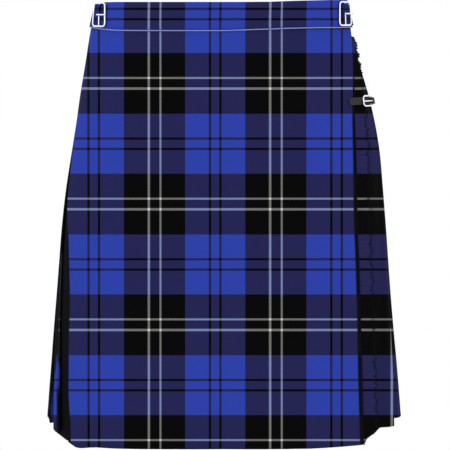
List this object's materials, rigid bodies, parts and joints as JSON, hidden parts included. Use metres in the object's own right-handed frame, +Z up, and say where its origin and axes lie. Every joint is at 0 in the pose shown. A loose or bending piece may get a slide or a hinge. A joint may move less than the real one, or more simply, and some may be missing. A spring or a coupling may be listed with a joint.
{
  "type": "scottish kilt",
  "caption": "Worn lady's kilt with a flat fringed over-apron, knife pleats round the back, a narrow waistband, two waist straps with buckles and a leather hip strap",
  "frame": {"origin": "the centre of the waist, level with the middle of the waist straps", "axes": "+Z up; -Y is the front, towards the viewer of the over-apron; +X is the wearer's left, the side of the free fringed edge"},
  "size_m": [0.4545, 0.3192, 0.5392],
  "materials": {
    "tartan": "twill woven wool in blue, black and white checks",
    "fringe_wool": "loose wool yarn",
    "leather": "smooth black strap leather",
    "nickel": "bright nickel plate"
  },
  "bodies": {
    "root": {"over_apron": "tartan", "under_apron": "tartan", "pleats_right": "tartan", "pleats_left": "tartan", "waistband_apron": "tartan", "waistband_back": "tartan", "waistband_under": "tartan", "waist_strap_left": "tartan", "waist_strap_right": "tartan", "waist_loop_left": "tartan", "waist_loop_right": "tartan", "fringe": "fringe_wool", "hip_strap": "leather", "hip_tab": "leather", "waist_buckle_left": "nickel", "waist_buckle_right": "nickel", "waist_tongue_left": "nickel", "waist_tongue_right": "nickel", "hip_buckle": "nickel", "hip_tongue": "nickel"}
  },
  "joints": []
}
